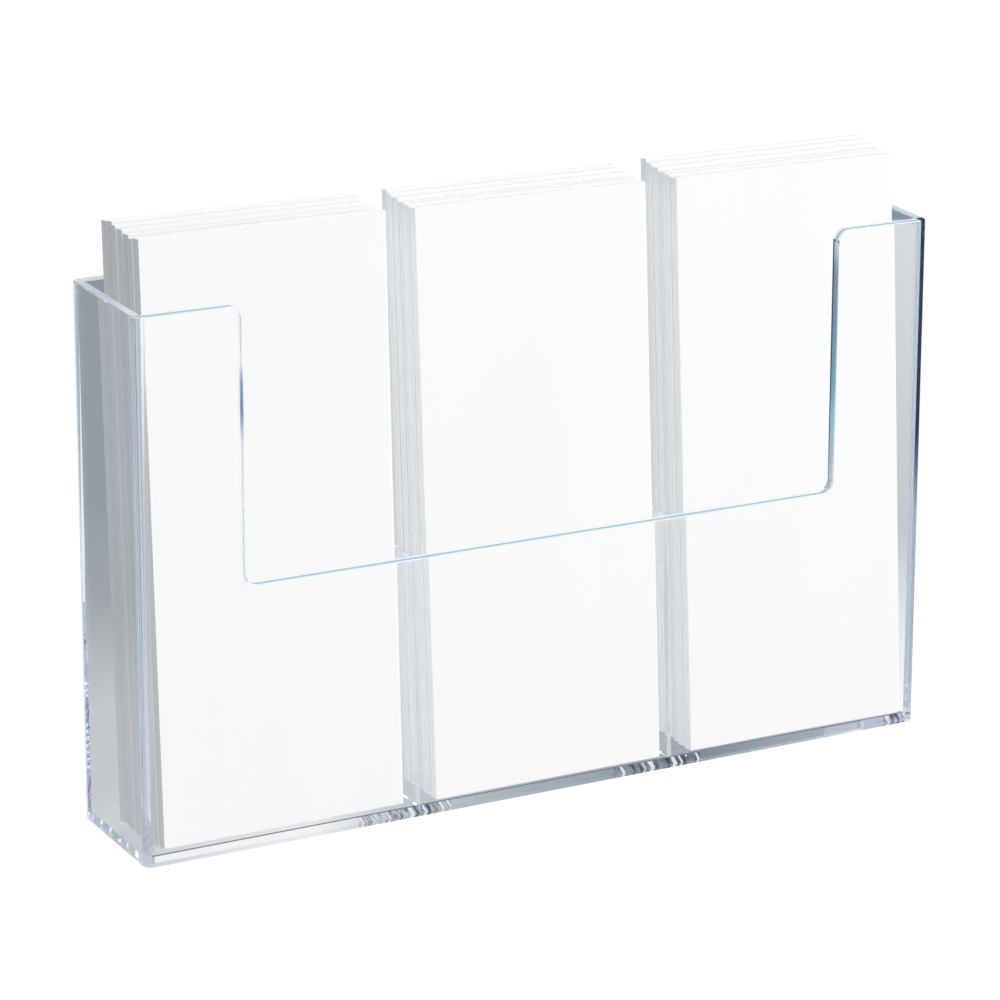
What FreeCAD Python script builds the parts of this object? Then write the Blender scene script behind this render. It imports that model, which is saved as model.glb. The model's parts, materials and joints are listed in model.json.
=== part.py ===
import FreeCAD, Part
import math
import os

# Clear acrylic counter-top holder with three side-by-side pockets, and the blank brochures that stand in them.
# Millimetres. +X to the right, +Y to the rear, +Z up, origin at the bottom centre of the bounding box.

# Holder
width = 346.0
foot_depth = 55.0
height = 208.0
recline = math.radians(4.0)
sheet = 4.0
base_sheet = 3.0
divider_sheet = 2.0
divider_height = 100.5
divider_front_setback = 6.6
divider_front_gap = 0.6
corner_radius = 3.5
edge_break = 0.4
cutout_half_width = 130.0
cutout_bottom = 102.3
cutout_radius = 5.0

# Brochures
brochure_width = 101.6
brochure_length = 228.6
brochure_thickness = 4.3
brochure_gap = 0.1
fold_radius = 1.6
cut_edge_break = 0.3
standing_gap = 0.15
front_clearance = 0.8

# Each pack: name, left edge, lean in degrees, and how far each brochure is held up by its neighbours, front to rear.
packs = (
    ("left", -164.1, 6.5, (1.2, 0.3, 0.6, 1.3, 1.8, 2.0, 1.3)),
    ("middle", -48.6, 7.45, (0.1, 0.3, 0.0, 0.7, 1.2, 1.6)),
    ("right", 67.0, 7.7, (0.0, 0.2, 0.1, 0.9, 1.5, 2.1)),
)
# Sideways shift of each brochure of a hand-filled pack, front to rear.
side_shift = (0.0, -0.4, 0.2, -0.1, -0.6, 0.1, -0.2)

lean_over_height = height * math.tan(recline)
front_foot = -(foot_depth + lean_over_height) / 2.0
rear_foot = front_foot + foot_depth
pocket_width = (width - 2.0 * sheet - 2.0 * divider_sheet) / 3.0
divider_centre = (pocket_width + divider_sheet) / 2.0


def reclined(y_at_foot, z):
    """Y of a reclined plane at height z, from its Y on the counter."""
    return y_at_foot + z * math.tan(recline)


def side_profile(points, x_low, thickness):
    """A plate parallel to the YZ plane, from its (y, z) outline."""
    corners = [FreeCAD.Vector(x_low, y, z) for y, z in points]
    face = Part.Face(Part.makePolygon(corners + corners[:1]))
    return face.extrude(FreeCAD.Vector(thickness, 0, 0))


def reclined_bar(y_front, y_rear, z_low, z_high, x_low, x_high):
    """A block with level top and bottom, whose front and rear faces recline."""
    outline = (
        (reclined(y_front, z_low), z_low),
        (reclined(y_rear, z_low), z_low),
        (reclined(y_rear, z_high), z_high),
        (reclined(y_front, z_high), z_high),
    )
    return side_profile(outline, x_low, x_high - x_low)


def edges_where(shape, test):
    """The straight edges whose two ends both pass the test."""
    chosen = []
    for edge in shape.Edges:
        ends = [vertex.Point for vertex in edge.Vertexes]
        if len(ends) == 2 and all(test(end) for end in ends):
            chosen.append(edge)
    return chosen


def round_outer_corners(shape, y_at_foot):
    """Round the two outer corners that run up the holder at its ends."""
    corners = []
    for end in (-width / 2.0, width / 2.0):
        def on_corner(p):
            return abs(p.y - reclined(y_at_foot, p.z)) < 1e-4 and abs(p.x - end) < 1e-6
        corners += edges_where(shape, on_corner)
    return shape.makeFillet(corner_radius, corners)


def break_top_edges(shape):
    """Take the sharpness off the long edges of a panel's top face and of its cut-out."""
    def on_top(p):
        return p.z > cutout_bottom - 1e-4
    chosen = []
    for edge in edges_where(shape, on_top):
        first, last = edge.Vertexes[0].Point, edge.Vertexes[1].Point
        through_the_sheet = abs(first.x - last.x) < 1e-6 and abs(first.z - last.z) < 1e-6
        if not through_the_sheet:
            chosen.append(edge)
    return shape.makeChamfer(edge_break, chosen)


def cutout_tool():
    """The wide U that is cut into the front panel, with its outward-flared top corners."""
    top = height + 1.0
    depth = 2.0 * foot_depth
    y_start = front_foot - foot_depth / 2.0
    r = cutout_radius
    x = cutout_half_width
    low = cutout_bottom
    mid = r * math.sqrt(0.5)
    v = FreeCAD.Vector

    def line(x_from, z_from, x_to, z_to):
        return Part.LineSegment(v(x_from, y_start, z_from), v(x_to, y_start, z_to)).toShape()

    def arc(*points):
        return Part.Arc(*[v(px, y_start, pz) for px, pz in points]).toShape()

    right = [
        line(0, low, x - r, low),
        arc((x - r, low), (x - r + mid, low + r - mid), (x, low + r)),
        line(x, low + r, x, height - r),
        arc((x, height - r), (x + r - mid, height - r + mid), (x + r, height)),
        line(x + r, height, x + r, top),
        line(x + r, top, 0, top),
    ]
    left = [edge.mirror(v(0, 0, 0), v(1, 0, 0)) for edge in right]
    outline = Part.Wire(Part.__sortEdges__(right + left))
    return Part.Face(outline).extrude(v(0, depth, 0))


def front_panel():
    """The front sheet with rounded ends and the wide U cut-out."""
    plate = reclined_bar(front_foot, front_foot + sheet, 0.0, height, -width / 2.0, width / 2.0)
    plate = round_outer_corners(plate, front_foot)
    return break_top_edges(plate.cut(cutout_tool()).removeSplitter())


def back_panel():
    """The plain rear sheet, with a broken top edge."""
    plate = reclined_bar(rear_foot - sheet, rear_foot, 0.0, height, -width / 2.0, width / 2.0)
    return break_top_edges(round_outer_corners(plate, rear_foot))


def end_wall(x_low):
    """One end of the holder, between the front and rear sheets, with its top edges broken."""
    plate = reclined_bar(front_foot + sheet, rear_foot - sheet, 0.0, height, x_low, x_low + sheet)
    upper = edges_where(plate, lambda p: abs(p.z - height) < 1e-6)
    long_ones = [edge for edge in upper if edge.Length > sheet + 1.0]
    return plate.makeChamfer(edge_break, long_ones)


def base_plate():
    """The floor of the pockets, flush between the four walls."""
    half = width / 2.0 - sheet
    return reclined_bar(front_foot + sheet, rear_foot - sheet, 0.0, base_sheet, -half, half)


def divider(x_centre):
    """A low partition whose free front edge leans away from the front panel and ends in a round corner."""
    z_low = base_sheet
    z_top = divider_height
    y_front_low = reclined(front_foot + sheet, z_low) + divider_front_gap
    y_front_top = reclined(front_foot + sheet, z_top) + divider_front_setback
    outline = (
        (y_front_low, z_low),
        (reclined(rear_foot - sheet, z_low), z_low),
        (reclined(rear_foot - sheet, z_top), z_top),
        (y_front_top, z_top),
    )
    plate = side_profile(outline, x_centre - divider_sheet / 2.0, divider_sheet)

    def at_front_top(p):
        return abs(p.y - y_front_top) < 1e-6 and abs(p.z - z_top) < 1e-6
    return plate.makeFillet(2.5, edges_where(plate, at_front_top))


def brochure_blank():
    """One folded brochure lying on its own axes: X across, Y through it, Z up, with the folds on the right."""
    block = Part.makeBox(brochure_width, brochure_thickness, brochure_length)

    def on_fold(p):
        return abs(p.x - brochure_width) < 1e-6
    folds = [edge for edge in edges_where(block, on_fold) if edge.Length > brochure_length - 1.0]
    block = block.makeFillet(fold_radius, folds)

    def on_cut(p):
        return abs(p.x) < 1e-6
    cuts = [edge for edge in edges_where(block, on_cut) if edge.Length > brochure_length - 1.0]
    return block.makeChamfer(cut_edge_break, cuts)


def brochure(left_edge, lean, place, held_up):
    """A leaning brochure, the given number of places behind the front one and pulled up its own face a little."""
    tilt = math.radians(lean)
    through = (brochure_thickness + brochure_gap) / math.cos(tilt)
    y_foot = reclined(front_foot + sheet, base_sheet) + front_clearance + place * through
    z_foot = base_sheet + brochure_thickness * math.sin(tilt) + standing_gap
    shape = brochure_blank()
    shape.rotate(FreeCAD.Vector(0, 0, 0), FreeCAD.Vector(1, 0, 0), -lean)
    shape.translate(FreeCAD.Vector(left_edge + side_shift[place], y_foot, z_foot))
    shape.translate(FreeCAD.Vector(0, held_up * math.sin(tilt), held_up * math.cos(tilt)))
    return shape


def named_parts():
    parts = {
        "front_panel": front_panel(),
        "back_panel": back_panel(),
        "left_end_wall": end_wall(-width / 2.0),
        "right_end_wall": end_wall(width / 2.0 - sheet),
        "base_plate": base_plate(),
        "left_divider": divider(-divider_centre),
        "right_divider": divider(divider_centre),
    }
    for pocket, left_edge, lean, lifts in packs:
        for place, held_up in enumerate(lifts):
            name = "%s_brochure_%d" % (pocket, place + 1)
            parts[name] = brochure(left_edge, lean, place, held_up)
    return parts


os.makedirs("parts", exist_ok=True)
for name, shape in named_parts().items():
    if not shape.isValid() or len(shape.Solids) != 1:
        raise ValueError("%s is not one valid solid" % name)
    shape.exportStep("parts/%s.step" % name)
    box = shape.BoundBox
    print("%-20s x %8.2f %8.2f  y %7.2f %7.2f  z %7.2f %7.2f" % (
        name, box.XMin, box.XMax, box.YMin, box.YMax, box.ZMin, box.ZMax))
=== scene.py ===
"""Looks of a clear three-pocket brochure holder.

The holder's sheets are the CAD nodes with an acrylic material. Each brochure is a layered piece in
the place of its CAD block. The studio is white to the camera, and grey and blue to the acrylic.
"""

import json
import math
import random

import bpy
from mathutils import Matrix, Vector


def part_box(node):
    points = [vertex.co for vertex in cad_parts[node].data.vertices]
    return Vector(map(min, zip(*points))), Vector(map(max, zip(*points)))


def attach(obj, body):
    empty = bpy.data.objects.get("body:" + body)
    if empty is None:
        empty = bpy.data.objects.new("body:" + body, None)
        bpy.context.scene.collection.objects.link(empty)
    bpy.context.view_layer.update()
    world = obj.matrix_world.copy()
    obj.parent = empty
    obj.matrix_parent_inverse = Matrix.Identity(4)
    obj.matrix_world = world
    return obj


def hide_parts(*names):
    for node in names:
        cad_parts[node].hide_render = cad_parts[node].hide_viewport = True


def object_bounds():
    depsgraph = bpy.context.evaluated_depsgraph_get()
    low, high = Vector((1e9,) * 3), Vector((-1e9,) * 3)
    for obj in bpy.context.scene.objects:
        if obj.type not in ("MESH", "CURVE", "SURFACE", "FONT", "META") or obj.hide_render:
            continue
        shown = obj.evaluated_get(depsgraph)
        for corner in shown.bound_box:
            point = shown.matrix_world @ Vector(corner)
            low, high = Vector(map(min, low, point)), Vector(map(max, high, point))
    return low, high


WHITE = (1.0, 1.0, 1.0)

# Camera, as yaw, pitch and roll in degrees, and where its axis passes the aim point
YAW = 30.69
PITCH = 19.15
ROLL = 2.22
DISTANCE = 1.6345
AIM = (0.0, -0.0072, 0.1)
AIM_RIGHT = 0.0092
AIM_UP = -0.0104
LENS = 152.3
CLIP_START = 0.05
CLIP_END = 50.0

# Holder, in metres, as the CAD has it. Reclined planes are given by their y on the counter, and a
# point counts as on a plane when it is within the joint reach.
RECLINE = math.radians(4.0)
SHEET = 0.004
BASE_SHEET = 0.003
DIVIDER_SHEET = 0.002
CUTOUT_HALF = 0.130
CUTOUT_BOTTOM = 0.1023
EDGE_BREAK = 0.0004
JOINT_REACH = 0.00003

# Acrylic
ACRYLIC_IOR = 1.49
ABSORPTION = 1.2
ABSORPTION_TINT = (0.72, 0.88, 1.0)
LIGHT_BOUNCES = 128
TRANSPARENT_BOUNCES = 64

# Sawn ends and rims. A frost is the share of light that such a face scatters. The painted shade on the
# right end reaches in from the far right, and the dividers' painted highlight line starts some way
# behind the front panel.
SAWN_ROUGHNESS = 0.2
RIM_TINT = (0.90, 0.94, 1.0)
RIM_FROST = 0.85
RIGHT_RIM_FROST = 0.5
# Broken edges below the rims, tinted grey blue as painted shade
EDGE_SHADE_TINT = (0.55, 0.62, 0.72)
EDGE_SHADE_FROST = 0.3
REAR_END_FROST = 0.75
FRONT_END_FROST = 0.1
PAINTED_SHADE_REACH = 0.0036
# Dividers: frosted edges lightened as painted light, and a painted highlight line along the top
DIVIDER_FROST_AND_PAINTED_LIGHT = 0.6
DIVIDER_LIGHTENING_TINT = (0.85, 0.88, 0.92)
DIVIDER_HIGHLIGHT_START = 0.016

# Painted reflections and painted shade on the edges, as (share of the height or of the thickness,
# colour)
CUT_RIGHT_PAINTED_REFLECTION = (
    (0.0, (0.95, 0.97, 1.0)),
    (0.15, (0.72, 0.82, 0.90)),
    (0.3, (0.50, 0.78, 0.93)),
    (0.42, (0.30, 0.58, 0.75)),
    (0.6, (0.30, 0.42, 0.62)),
    (0.85, (0.34, 0.44, 0.62)),
    (0.95, (0.8, 0.88, 0.95)),
)
CUT_LEFT_PAINTED_REFLECTION = (
    (0.0, (0.88, 0.96, 1.0)),
    (0.5, (0.95, 0.98, 1.0)),
    (0.62, (0.3, 0.38, 0.6)),
    (0.72, (0.4, 0.5, 0.7)),
    (0.8, WHITE),
    (0.9, (1.0, 0.88, 0.9)),
    (1.0, (0.85, 0.93, 1.0)),
)
# Painted shade on the front right end: white low down, nearly navy towards the top.
RIGHT_END_PAINTED_SHADE = (
    (0.0, WHITE),
    (0.42, (0.85, 0.86, 0.9)),
    (0.52, (0.3, 0.32, 0.4)),
    (0.58, (0.08, 0.10, 0.16)),
    (1.0, (0.08, 0.11, 0.18)),
)
# Painted reflection lines across the front panel's thickness
CUT_LINE_PAINTED_REFLECTION = (
    (0.0, (0.97, 0.98, 1.0)),
    (0.4, (0.97, 0.98, 1.0)),
    (0.52, (0.36, 0.58, 0.70)),
    (0.72, (0.36, 0.58, 0.70)),
    (0.9, (0.8, 0.9, 0.96)),
    (1.0, (0.9, 0.95, 1.0)),
)
CUT_LINE_REACH = 0.001
CUT_CORNER = 0.004

# Cement between the sheets
BOND_TINT = (0.86, 0.88, 0.97)
BLOTCH_SCALE = 260.0
BLOTCH_RANGE = (0.4, 0.62)
BLOTCH_COVER = (0.55, 1.0)
STREAK_REACH = 0.020
STREAK_SHIFT = 0.006
STREAK_SLANT = 0.6
STREAK_STRETCH = 0.15
STREAK_SCALE = 380.0
STREAK_CLOUDY_ABOVE = 0.57
STREAK_CLOUD = (0.95, 0.96, 1.0)
STREAK_TINTS = (
    (0.38, (0.25, 0.26, 0.32)),
    (0.45, (0.80, 0.82, 0.88)),
    (0.50, WHITE),
    (0.56, (0.5, 0.52, 0.6)),
)
CEMENT_LINE = 0.0005
CEMENT_TINT = (0.45, 0.5, 0.58)

# Brochures
LEAVES = 6
SLIT = 0.00004
FOLD_SOLID = 0.0012
FOLD_ROUND = 0.36
FOLD_STEPS = 6
LEAF_SHIFT = 0.00025
PAPER_ROUGHNESS = 0.6
PAPER_SPECULAR = 0.3
PAPER_STREAKS = (12.0, 1600.0, 2.0)
PAPER_STREAK_RANGE = (0.3, 0.7)
PAPER_GREY = (0.855, 0.877)
PAPER_GRAIN = 900.0
GRAIN_STRENGTH = 0.05
GRAIN_DEPTH = 0.0002

# Floor
FLOOR_HALF = 4.0
FLOOR_DROP = 0.0002
BACKDROP_LIGHT = 1.05

# The studio as seen by direction. For each height of the direction (its z) a ring gives degrees
# clockwise from the rear, how light the studio is there, and how blue.
LEFT = (-180, 1.1, 0), (-150, 0.42, 0), (-115, 0.15, 0.3)
PALE_LEFT = *LEFT, (-90, 0.40, 0.15), (-30, 0.62, 0.1)
DIM_LEFT = *LEFT, (-90, 0.20, 0.25), (-60, 0.28, 0.35), (-20, 0.38, 0.3), (25, 0.25, 0.2)
FRONT = (150, 1.0, 0), (180, 1.1, 0)
GREY_RIGHT = (100, 0.35, 0.2), *FRONT
DARK_RIGHT = (60, 0.06, 0.8), (100, 0.05, 0.8), *FRONT
BANDED = (
    *PALE_LEFT, (25, 0.50, 0.1), (28, 0.90, 0), (29.2, 0.45, 0.25), (32, 0.36, 0.25),
    (34.3, 0.14, 0.8), (35.5, 0.40, 0.3), (36.1, 1.05, 0), (60, 0.50, 0.15), *GREY_RIGHT,
)
LEVEL = *DIM_LEFT, (29, 0.30, 0.3), (36, 0.13, 0.9), *DARK_RIGHT
RISING = (
    *LEFT, (-90, 0.10, 0.3), (-30, 0.30, 0.2), (29.8, 0.92, 0), (31.2, 0.44, 0.25),
    (33.5, 0.32, 0.3), (35.6, 0.10, 0.9), (37, 0.36, 0.3), (60, 0.50, 0.15), *FRONT,
)
STUDIO = (
    (-0.46, (*PALE_LEFT, (25, 0.85, 0.05), (60, 0.85, 0.05), *GREY_RIGHT)),
    (-0.425, BANDED),
    (-0.375, BANDED),
    (-0.352, (*LEFT, (-90, 0.30, 0.15), (-30, 0.30, 0.2), (25, 0.34, 0.15), (29, 0.50, 0.15),
              (36, 0.76, 0.15), (60, 0.40, 0.2), (100, 0.25, 0.2), *FRONT)),
    (-0.330, (*DIM_LEFT, (29, 0.35, 0.15), (36, 0.48, 0.12), *DARK_RIGHT)),
    (-0.2614, (*DIM_LEFT, (29, 0.35, 0.15), (36, 0.65, 0.1), *DARK_RIGHT)),
    (-0.2600, LEVEL),
    (0.10, LEVEL),
    (0.36, RISING),
    (0.52, RISING),
    (0.85, (*LEFT, (-90, 0.1, 0.5), (-20, 0.3, 0.4), (30, 1.1, 0), (180, 1.1, 0))),
)

# Lamps: name, place, the point aimed at (None for the middle), width, height, watts and colour
LAMPS = (
    ("key", (1.4, -1.2, 0.8), None, 1.2, 1.2, 13.6, (1.0, 0.995, 0.985)),
    ("top", (0.0, -0.1, 1.5), None, 1.4, 1.0, 6.0, WHITE),
    ("fill", (-0.45, -1.75, 0.3), None, 0.8, 0.8, 2.9, WHITE),
    ("bounce", (-0.7, -0.2, 0.02), (-0.17, 0.0, 0.02), 0.5, 0.3, 0.6, (0.95, 0.98, 1.0)),
    ("gap", (-1.5, 0.0, 0.1), (0.0, 0.0, 0.1), 0.3, 0.3, 6.1, (0.90, 0.96, 1.0)),
    ("rear", (0.5, 1.8, 0.9), None, 1.0, 1.0, 9.0, WHITE),
    ("rear end", (-0.5, -0.12, 0.12), (-0.173, 0.035, 0.1), 0.1, 0.2, 0.9, (0.9, 0.96, 1.0)),
)

# Sockets of Blender's colour mix node
MIX_FIRST = 6
MIX_SECOND = 7
MIX_RESULT = 2

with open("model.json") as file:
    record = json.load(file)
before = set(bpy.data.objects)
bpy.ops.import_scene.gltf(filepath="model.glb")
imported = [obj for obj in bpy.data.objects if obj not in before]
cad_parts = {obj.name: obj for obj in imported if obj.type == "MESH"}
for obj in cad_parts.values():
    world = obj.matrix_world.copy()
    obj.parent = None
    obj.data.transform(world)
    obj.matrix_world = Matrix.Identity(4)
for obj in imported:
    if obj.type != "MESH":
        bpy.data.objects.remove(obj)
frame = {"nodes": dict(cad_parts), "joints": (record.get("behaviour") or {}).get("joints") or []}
cad_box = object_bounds()
nodes = frame["nodes"]
joints = frame["joints"]


def link(thing):
    bpy.context.scene.collection.objects.link(thing)
    return thing


def camera_axes():
    """Right, up and forward of the camera."""
    yaw, pitch, roll = (math.radians(angle) for angle in (YAW, PITCH, ROLL))
    forward = Vector((
        math.sin(yaw) * math.cos(pitch),
        math.cos(yaw) * math.cos(pitch),
        -math.sin(pitch),
    ))
    level = Vector((math.cos(yaw), -math.sin(yaw), 0.0))
    above = level.cross(forward)
    right = level * math.cos(roll) + above * math.sin(roll)
    up = above * math.cos(roll) - level * math.sin(roll)
    return right, up, forward


def add_camera():
    right, up, forward = camera_axes()
    place = Vector(AIM) - right * AIM_RIGHT - up * AIM_UP - forward * DISTANCE
    data = bpy.data.cameras.new("camera")
    data.lens = LENS
    data.clip_start = CLIP_START
    data.clip_end = CLIP_END
    camera = link(bpy.data.objects.new("camera", data))
    turn = Matrix((right, up, -forward)).transposed()
    camera.matrix_world = Matrix.Translation(place) @ turn.to_4x4()
    bpy.context.scene.camera = camera


class Tree:
    """Short ways to build a node tree."""

    def __init__(self, tree):
        self.tree = tree
        tree.nodes.clear()

    def add(self, kind, inputs=None, **settings):
        made = self.tree.nodes.new(kind)
        for name, value in settings.items():
            setattr(made, name, value)
        for name, value in (inputs or {}).items():
            self.feed(made.inputs[name], value)
        return made

    def feed(self, socket, value):
        """Link a socket or a node to an input, or set the input. A colour comes without its alpha."""
        if isinstance(value, bpy.types.NodeSocket):
            self.tree.links.new(value, socket)
        elif isinstance(value, bpy.types.Node):
            self.tree.links.new(value.outputs[0], socket)
        elif socket.type == "RGBA":
            socket.default_value = (*value, 1.0)
        else:
            socket.default_value = value

    def math(self, operation, a, b=0.0):
        return self.add("ShaderNodeMath", {0: a, 1: b}, operation=operation).outputs[0]

    def near(self, value, target, reach):
        """1 where value is within reach of target."""
        gap = self.math("ABSOLUTE", self.math("SUBTRACT", value, target))
        return self.math("LESS_THAN", gap, reach)

    def between(self, value, low, high):
        """1 where value is between low and high."""
        return self.near(value, (low + high) / 2, (high - low) / 2)

    def any_of(self, *masks):
        total = masks[0]
        for mask in masks[1:]:
            total = self.math("MAXIMUM", total, mask)
        return total

    def all_of(self, *masks):
        total = masks[0]
        for mask in masks[1:]:
            total = self.math("MULTIPLY", total, mask)
        return total

    def spread(self, value, source, target=(0.0, 1.0)):
        """The value moved from one range to another, and kept inside it."""
        return self.add("ShaderNodeMapRange", {
            "Value": value,
            "From Min": source[0],
            "From Max": source[1],
            "To Min": target[0],
            "To Max": target[1],
        }).outputs[0]

    def ramp(self, share, stops):
        made = self.add("ShaderNodeValToRGB", {0: share})
        band = made.color_ramp.elements
        while len(band) < len(stops):
            band.new(0.5)
        for element, (place, colour) in zip(band, stops):
            element.position = place
            element.color = (*colour, 1.0)
        return made.outputs[0]

    def mix(self, share, first, second):
        return self.add("ShaderNodeMixShader", {0: share, 1: first, 2: second})

    def mix_colour(self, share, first, second):
        made = self.add(
            "ShaderNodeMix",
            {0: share, MIX_FIRST: first, MIX_SECOND: second},
            data_type="RGBA",
        )
        return made.outputs[MIX_RESULT]

    def glass(self, colour, roughness):
        return self.add("ShaderNodeBsdfGlass", {
            "Color": colour, "Roughness": roughness, "IOR": ACRYLIC_IOR,
        })

    def transparent(self, colour):
        return self.add("ShaderNodeBsdfTransparent", {"Color": colour})

    def scatter(self, colour):
        """A frosted face, which scatters light both ways."""
        back = self.add("ShaderNodeBsdfDiffuse", {"Color": colour})
        through = self.add("ShaderNodeBsdfTranslucent", {"Color": colour})
        return self.mix(0.5, back, through)


def new_material(name):
    material = bpy.data.materials.new(name)
    material.use_nodes = True
    return material, Tree(material.node_tree)


class HolderPlace:
    """The holder's planes as numbers read from the CAD, and where a point is as sockets."""

    def __init__(self, t):
        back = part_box("back_panel")[1]
        low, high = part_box("right_divider")
        self.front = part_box("front_panel")[0].y + SHEET
        self.rear = back.y - back.z * math.tan(RECLINE) - SHEET
        self.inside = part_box("right_end_wall")[0].x
        self.rim_height = back.z
        self.divider_x = (low.x + high.x) / 2
        self.divider_top = high.z

        self.point = t.add("ShaderNodeTexCoord").outputs["Object"]
        self.x, y, self.z = t.add("ShaderNodeSeparateXYZ", {0: self.point}).outputs
        self.across = t.math("ABSOLUTE", self.x)
        self.foot = t.math("SUBTRACT", y, t.math("MULTIPLY", self.z, math.tan(RECLINE)))
        self.on_left = t.math("LESS_THAN", self.x, 0.0)
        self.on_right = t.math("GREATER_THAN", self.x, 0.0)
        self.in_base = t.math("LESS_THAN", self.z, BASE_SHEET + JOINT_REACH)
        self.past_walls = t.math("GREATER_THAN", self.across, self.inside + JOINT_REACH)
        self.front_joint = t.near(self.foot, self.front, JOINT_REACH)
        self.wall_joint = t.near(self.across, self.inside, JOINT_REACH)


def polished(t, place):
    """Clear acrylic, with bands of painted reflection up the sides of the cut-out, where a thick edge
    picks up colours from the studio.
    """
    rise = t.spread(place.z, (CUTOUT_BOTTOM, place.rim_height))
    cut_side = t.all_of(
        t.near(place.across, CUTOUT_HALF, EDGE_BREAK + JOINT_REACH),
        t.math("LESS_THAN", place.foot, place.front + JOINT_REACH),
        t.math("GREATER_THAN", place.z, CUTOUT_BOTTOM),
    )
    # Painted reflections: the cut-out sides take banded colours by height, on the right and on the
    # left.
    colour = WHITE
    for side, reflection_tints in ((place.on_right, CUT_RIGHT_PAINTED_REFLECTION), (place.on_left, CUT_LEFT_PAINTED_REFLECTION)):
        colour = t.mix_colour(t.all_of(cut_side, side), colour, t.ramp(rise, reflection_tints))
    return t.glass(colour, 0.0)


def with_sheet_ends(t, place, surface, sawn, frosted):
    """Add the ends of the front and back panels: sawn, and at the front right painted with shade,
    nearly navy.
    """
    sheet_end = t.all_of(place.past_walls, t.any_of(
        t.math("LESS_THAN", place.foot, place.front - JOINT_REACH),
        t.math("GREATER_THAN", place.foot, place.rear + JOINT_REACH),
    ))
    at_rear = t.math("GREATER_THAN", place.foot, 0.0)
    at_front = t.math("LESS_THAN", place.foot, 0.0)
    more_frost = t.math("MULTIPLY", at_rear, REAR_END_FROST - FRONT_END_FROST)
    pale_end = t.mix(t.math("ADD", FRONT_END_FROST, more_frost), sawn, frosted)
    surface = t.mix(t.all_of(sheet_end, t.any_of(place.on_left, at_rear)), surface, pale_end)
    height_share = t.spread(place.z, (0.0, place.rim_height))
    # Painted shade: the front right end darkens to navy towards the top.
    painted_dark_end = t.glass(t.ramp(height_share, RIGHT_END_PAINTED_SHADE), SAWN_ROUGHNESS)
    outermost = t.math("GREATER_THAN", place.across, place.inside + SHEET - PAINTED_SHADE_REACH)
    return t.mix(t.all_of(sheet_end, outermost, place.on_right, at_front), surface, painted_dark_end)


def with_rims(t, place, surface, sawn, frosted):
    """Add the tops of the back panel and end walls, with painted shade on the broken edges below."""
    behind_front = t.math("GREATER_THAN", place.foot, place.front + JOINT_REACH)
    rim = t.all_of(behind_front, t.math("GREATER_THAN", place.z, place.rim_height - JOINT_REACH))
    broken_edge = t.all_of(behind_front, t.between(
        place.z, place.rim_height - EDGE_BREAK + 2 * JOINT_REACH, place.rim_height - 2 * JOINT_REACH,
    ))
    less_frost = t.math("MULTIPLY", place.on_right, RIM_FROST - RIGHT_RIM_FROST)
    rim_frost = t.math("SUBTRACT", RIM_FROST, less_frost)
    # Painted shade: the broken edges are tinted grey blue.
    painted_edge_shade = t.glass(EDGE_SHADE_TINT, SAWN_ROUGHNESS)
    surface = t.mix(broken_edge, surface, t.mix(EDGE_SHADE_FROST, painted_edge_shade, frosted))
    return t.mix(rim, surface, t.mix(rim_frost, sawn, frosted))


def with_dividers(t, place, surface):
    """Add the low dividers' frosted edges, lightened as painted light, and a painted highlight line
    along their tops.
    """
    edge = t.all_of(
        t.near(place.across, place.divider_x, DIVIDER_SHEET / 2 - JOINT_REACH),
        t.between(place.foot, place.front + JOINT_REACH, place.rear - JOINT_REACH),
        t.math("GREATER_THAN", place.z, BASE_SHEET + JOINT_REACH),
    )
    painted_highlight_line = t.all_of(
        t.near(place.z, place.divider_top, EDGE_BREAK),
        t.near(place.across, place.divider_x, DIVIDER_SHEET / 2 + JOINT_REACH),
        t.between(place.foot, place.front + DIVIDER_HIGHLIGHT_START + JOINT_REACH, place.rear - JOINT_REACH),
    )
    # Painted light lightens the frosted divider edges, and the white top line is a painted highlight.
    surface = t.mix(t.math("MULTIPLY", edge, DIVIDER_FROST_AND_PAINTED_LIGHT), surface, t.scatter(DIVIDER_LIGHTENING_TINT))
    return t.mix(painted_highlight_line, surface, t.scatter(WHITE))


def with_painted_edge_reflections(t, place, surface):
    """Add painted reflections as thin pale blue lines on the front panel's top and the cut-out's lower
    edge.
    """
    depth = t.math("DIVIDE", t.math("SUBTRACT", place.front, place.foot), SHEET)
    skin = JOINT_REACH / SHEET
    line = t.all_of(
        t.between(depth, skin, 1.0 - skin),
        t.math("LESS_THAN", place.across, place.inside - JOINT_REACH),
        t.any_of(
            t.math("GREATER_THAN", place.z, place.rim_height - CUT_CORNER),
            t.near(place.z, CUTOUT_BOTTOM, CUT_LINE_REACH),
        ),
    )
    # Painted reflection: pale blue lines across the sheet's thickness.
    return t.mix(line, surface, t.scatter(t.ramp(depth, CUT_LINE_PAINTED_REFLECTION)))


def joint_mask(t, place):
    """1 on the faces where two bonded sheets meet."""
    in_end = t.math("GREATER_THAN", place.across, place.inside - JOINT_REACH)
    in_divider = t.all_of(
        t.near(place.across, place.divider_x, DIVIDER_SHEET / 2 + JOINT_REACH),
        t.math("LESS_THAN", place.z, place.divider_top + JOINT_REACH),
    )
    rear_joint = t.near(place.foot, place.rear, JOINT_REACH)
    return t.any_of(
        t.all_of(place.front_joint, t.any_of(in_end, place.in_base)),
        t.all_of(rear_joint, t.any_of(in_end, place.in_base, in_divider)),
        t.all_of(place.wall_joint, place.in_base),
        t.all_of(t.near(place.z, BASE_SHEET, JOINT_REACH), in_divider),
    )


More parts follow.
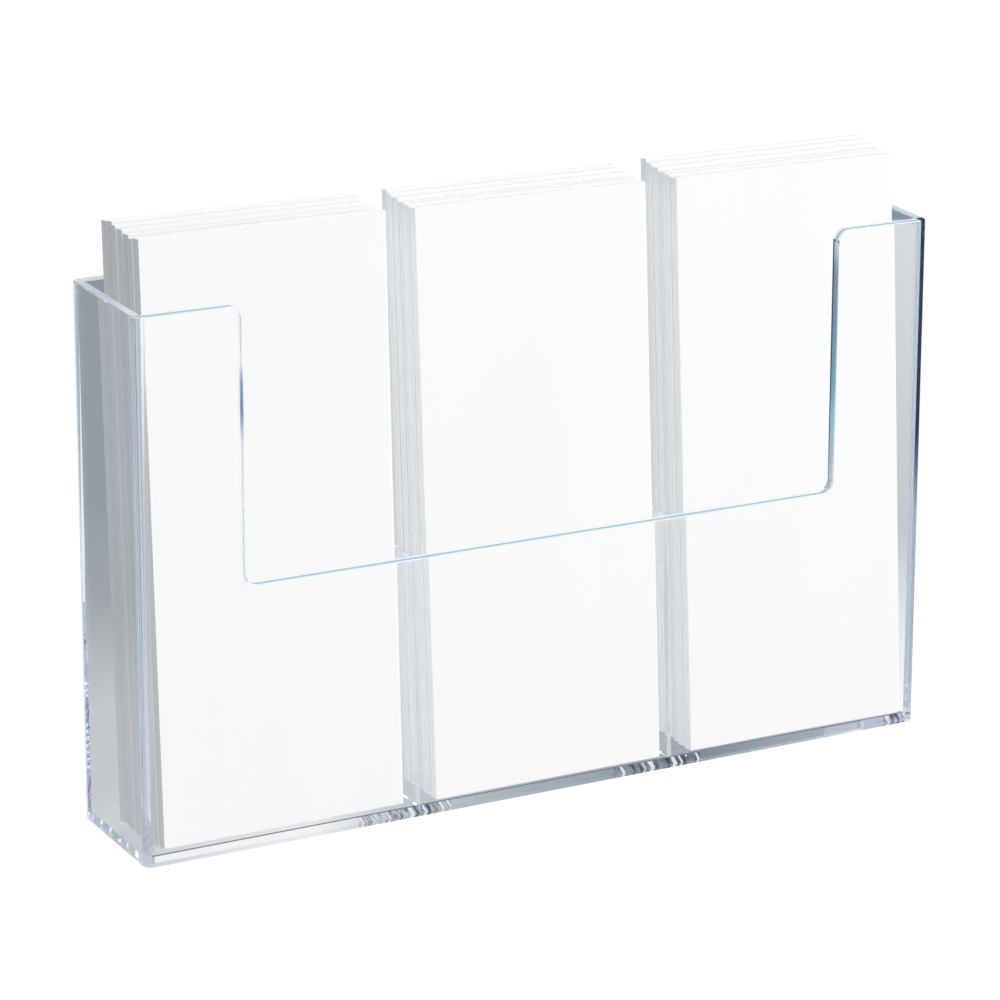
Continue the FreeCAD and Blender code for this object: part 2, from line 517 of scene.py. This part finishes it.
def with_blotches(t, place, surface):
    """Add the cloudy cement along the base's ends."""
    noise = t.add("ShaderNodeTexNoise", {
        "Vector": place.point, "Scale": BLOTCH_SCALE, "Detail": 3.0, "Roughness": 0.6,
    })
    glued_end = t.all_of(place.in_base, t.any_of(
        place.wall_joint,
        t.all_of(t.math("LESS_THAN", place.z, JOINT_REACH), place.past_walls),
    ))
    cover = t.math("MULTIPLY", glued_end, t.spread(noise, BLOTCH_RANGE, BLOTCH_COVER))
    return t.mix(cover, surface, t.scatter(BOND_TINT))


def with_streaks(t, place, surface):
    """Add slanted dark and cloudy streaks in the base's front joint, by the dividers and corner."""
    shifted = t.math("ABSOLUTE", t.math("ADD", place.x, STREAK_SHIFT))
    beside = t.math("SUBTRACT", shifted, place.divider_x)
    streaked = t.any_of(
        t.near(beside, 0.0, STREAK_REACH),
        t.math("GREATER_THAN", place.x, place.inside - STREAK_REACH / 2),
    )
    slant = t.add("ShaderNodeCombineXYZ", {
        0: t.math("ADD", place.x, t.math("MULTIPLY", place.z, STREAK_SLANT)),
        1: t.math("MULTIPLY", place.z, STREAK_STRETCH),
    })
    noise = t.add("ShaderNodeTexNoise", {"Vector": slant, "Scale": STREAK_SCALE, "Detail": 1.0})
    streaks = t.mix(
        t.math("GREATER_THAN", noise, STREAK_CLOUDY_ABOVE),
        t.transparent(t.ramp(noise, STREAK_TINTS)),
        t.scatter(STREAK_CLOUD),
    )
    return t.mix(t.all_of(place.front_joint, place.in_base, streaked), surface, streaks)


def with_cement_line(t, place, surface):
    """Add the fine grey line just above the base."""
    line = t.all_of(
        place.front_joint,
        t.between(place.z, BASE_SHEET, BASE_SHEET + CEMENT_LINE),
        t.math("LESS_THAN", place.across, place.inside),
    )
    return t.mix(line, surface, t.transparent(CEMENT_TINT))


def acrylic():
    """Clear acrylic with sawn edges. Bonded faces pass light straight on."""
    material, t = new_material("clear_acrylic")
    place = HolderPlace(t)
    sawn = t.glass(WHITE, SAWN_ROUGHNESS)
    frosted = t.scatter(RIM_TINT)
    surface = polished(t, place)
    surface = with_sheet_ends(t, place, surface, sawn, frosted)
    surface = with_rims(t, place, surface, sawn, frosted)
    surface = with_dividers(t, place, surface)
    surface = with_painted_edge_reflections(t, place, surface)
    surface = t.mix(joint_mask(t, place), surface, t.transparent(WHITE))
    surface = with_blotches(t, place, surface)
    surface = with_streaks(t, place, surface)
    surface = with_cement_line(t, place, surface)

    # Lamps and diffuse light reach what is behind the acrylic.
    path = t.add("ShaderNodeLightPath").outputs
    unhindered = t.any_of(path["Is Shadow Ray"], path["Is Diffuse Ray"])
    t.add("ShaderNodeOutputMaterial", {
        "Surface": t.mix(unhindered, surface, t.transparent(WHITE)),
        "Volume": t.add("ShaderNodeVolumeAbsorption", {
            "Color": ABSORPTION_TINT, "Density": ABSORPTION,
        }),
    })
    return material


def paper():
    """Smooth white paper, with faint streaks along the cut edges of the leaves."""
    material, t = new_material("white_paper")
    point = t.add("ShaderNodeTexCoord").outputs["Object"]
    along = t.add("ShaderNodeMapping", {"Vector": point, "Scale": PAPER_STREAKS})
    leaf_edges = t.add("ShaderNodeTexNoise", {"Vector": along, "Scale": 1.0, "Detail": 2.0})
    grey = t.spread(leaf_edges, PAPER_STREAK_RANGE, PAPER_GREY)
    grain = t.add("ShaderNodeTexNoise", {"Scale": PAPER_GRAIN, "Detail": 3.0})
    surface = t.add("ShaderNodeBsdfPrincipled", {
        "Base Color": t.add("ShaderNodeCombineColor", {0: grey, 1: grey, 2: grey}),
        "Roughness": PAPER_ROUGHNESS,
        "Specular IOR Level": PAPER_SPECULAR,
        "Normal": t.add("ShaderNodeBump", {
            "Strength": GRAIN_STRENGTH, "Distance": GRAIN_DEPTH, "Height": grain,
        }),
    })
    t.add("ShaderNodeOutputMaterial", {"Surface": surface})
    return material


def leaf_outline(width, thickness, seed):
    """Cross-section of a folded brochure: leaves with slits on the left, a round fold on the right."""
    draw = random.Random(seed)
    leaf = (thickness - SLIT * (LEAVES - 1)) / LEAVES
    points = []
    for i in range(LEAVES):
        low = i * (leaf + SLIT)
        left = draw.uniform(0.0, LEAF_SHIFT)
        points.append((left, low))
        points.append((left, low + leaf))
        if i < LEAVES - 1:
            points.append((width - FOLD_SOLID, low + leaf))
            points.append((width - FOLD_SOLID, low + leaf + SLIT))
    nose = thickness * FOLD_ROUND
    for middle, first in ((thickness - nose, math.pi / 2), (nose, 0.0)):
        for step in range(FOLD_STEPS + 1):
            angle = first - math.pi / 2 * step / FOLD_STEPS
            points.append((
                width - nose + nose * math.cos(angle),
                middle + nose * math.sin(angle),
            ))
    return points


def add_brochure(name, lean, material, seed):
    """A layered brochure in the place of the CAD block, on its body."""
    low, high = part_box(name)
    size = high - low
    sine = math.sin(lean)
    cosine = math.cos(lean)
    length = (size.z * cosine - size.y * sine) / (cosine * cosine - sine * sine)
    thickness = (size.y * cosine - size.z * sine) / (cosine * cosine - sine * sine)
    outline = leaf_outline(size.x, thickness, seed)
    count = len(outline)
    points = [(x, through, up) for up in (0.0, length) for x, through in outline]
    faces = [(i, (i + 1) % count, (i + 1) % count + count, i + count) for i in range(count)]
    faces += [tuple(range(count))[::-1], tuple(range(count, 2 * count))]
    mesh = bpy.data.meshes.new(name + "_layers")
    mesh.from_pydata(points, [], faces)
    mesh.validate()
    mesh.materials.append(material)
    piece = link(bpy.data.objects.new(name + "_layers", mesh))
    corner = Vector((low.x, low.y, low.z + thickness * sine))
    turn = Matrix(((1, 0, 0), (0, cosine, sine), (0, -sine, cosine)))
    piece.matrix_world = Matrix.Translation(corner) @ turn.to_4x4()
    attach(piece, name)
    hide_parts(name)
    return piece


def add_world():
    """The studio: plain white to the camera, and the rings of STUDIO to everything else."""
    world = bpy.data.worlds.new("studio")
    bpy.context.scene.world = world
    world.use_nodes = True
    t = Tree(world.node_tree)
    way = t.add("ShaderNodeTexCoord").outputs["Generated"]
    x, y, z = t.add("ShaderNodeSeparateXYZ", {0: way}).outputs
    turn = t.math("ADD", t.math("DIVIDE", t.math("ARCTAN2", x, y), 2 * math.pi), 0.5)
    colour, height_below = None, 0.0
    for height, stops in STUDIO:
        ring = t.ramp(turn, [
            (degrees / 360 + 0.5, (light, light * (1 + blue / 2), light * (1 + blue)))
            for degrees, light, blue in stops
        ])
        if colour is not None:
            ring = t.mix_colour(t.spread(z, (height_below, height)), colour, ring)
        colour, height_below = ring, height
    seen = t.add("ShaderNodeBackground", {"Color": WHITE, "Strength": BACKDROP_LIGHT})
    lit = t.add("ShaderNodeBackground", {"Color": colour, "Strength": 1.0})
    path = t.add("ShaderNodeLightPath").outputs
    t.add("ShaderNodeOutputWorld", {"Surface": t.mix(path["Is Camera Ray"], lit, seen)})


def add_softbox(name, place, aim, width, height, power, colour):
    data = bpy.data.lights.new(name, "AREA")
    data.shape = "RECTANGLE"
    data.size = width
    data.size_y = height
    data.energy = power
    data.color = colour
    lamp = link(bpy.data.objects.new(name, data))
    lamp.location = place
    target = Vector(aim) if aim else (cad_box[0] + cad_box[1]) / 2
    lamp.rotation_euler = (target - Vector(place)).to_track_quat("-Z", "Y").to_euler()
    return lamp


def light_only(lamp, pieces, blocker=None):
    """Let a lamp reach only these pieces. If a blocker is given, nothing else stands in its way."""
    lit = bpy.data.collections.new(lamp.name + "_receivers")
    for piece in pieces:
        lit.objects.link(piece)
    lamp.light_linking.receiver_collection = lit
    if blocker:
        shade = bpy.data.collections.new(lamp.name + "_blockers")
        shade.objects.link(blocker)
        lamp.light_linking.blocker_collection = shade


def add_lamps(leaflets, floor):
    """Soft boxes. Three of them light chosen pieces: pack sides, brochure backs, the rear left end."""
    lamps = {name: add_softbox(name, *settings) for name, *settings in LAMPS}
    lit_from_left = [piece for piece in leaflets if not piece.name.startswith("left")]
    light_only(lamps["gap"], lit_from_left, floor)
    light_only(lamps["rear"], leaflets)
    light_only(lamps["rear end"], [nodes["back_panel"]])


def add_floor():
    """A white table top, seen by the camera only: the acrylic shows the grey studio behind it."""
    mesh = bpy.data.meshes.new("floor")
    corners = [(x * FLOOR_HALF, y * FLOOR_HALF, 0) for x, y in ((-1, -1), (1, -1), (1, 1), (-1, 1))]
    mesh.from_pydata(corners, [], [(0, 1, 2, 3)])
    material, t = new_material("white_table")
    glow = t.add("ShaderNodeEmission", {"Color": WHITE, "Strength": BACKDROP_LIGHT})
    t.add("ShaderNodeOutputMaterial", {"Surface": glow})
    mesh.materials.append(material)
    floor = link(bpy.data.objects.new("floor", mesh))
    floor.location.z = -FLOOR_DROP
    floor.visible_diffuse = False
    floor.visible_glossy = False
    floor.visible_transmission = False
    floor.visible_shadow = False
    return floor


def finish_holder():
    """The holder's CAD nodes keep their shape, and become acrylic."""
    clear = acrylic()
    for name, node in nodes.items():
        if "brochure" not in name:
            node.data.materials.clear()
            node.data.materials.append(clear)


def add_brochures():
    """Each brochure leans as its joint does. The joint's number is its seed."""
    white = paper()
    leaflets = []
    for number, joint in enumerate(joints):
        lean = math.atan2(joint["axis"][1], joint["axis"][2])
        leaflets.append(add_brochure(joint["child"], lean, white, number))
    return leaflets


finish_holder()
leaflets = add_brochures()
add_world()
add_lamps(leaflets, add_floor())
add_camera()
scene = bpy.context.scene
scene.view_settings.view_transform = "Standard"
scene.cycles.max_bounces = LIGHT_BOUNCES
scene.cycles.glossy_bounces = LIGHT_BOUNCES
scene.cycles.transmission_bounces = LIGHT_BOUNCES
scene.cycles.transparent_max_bounces = TRANSPARENT_BOUNCES
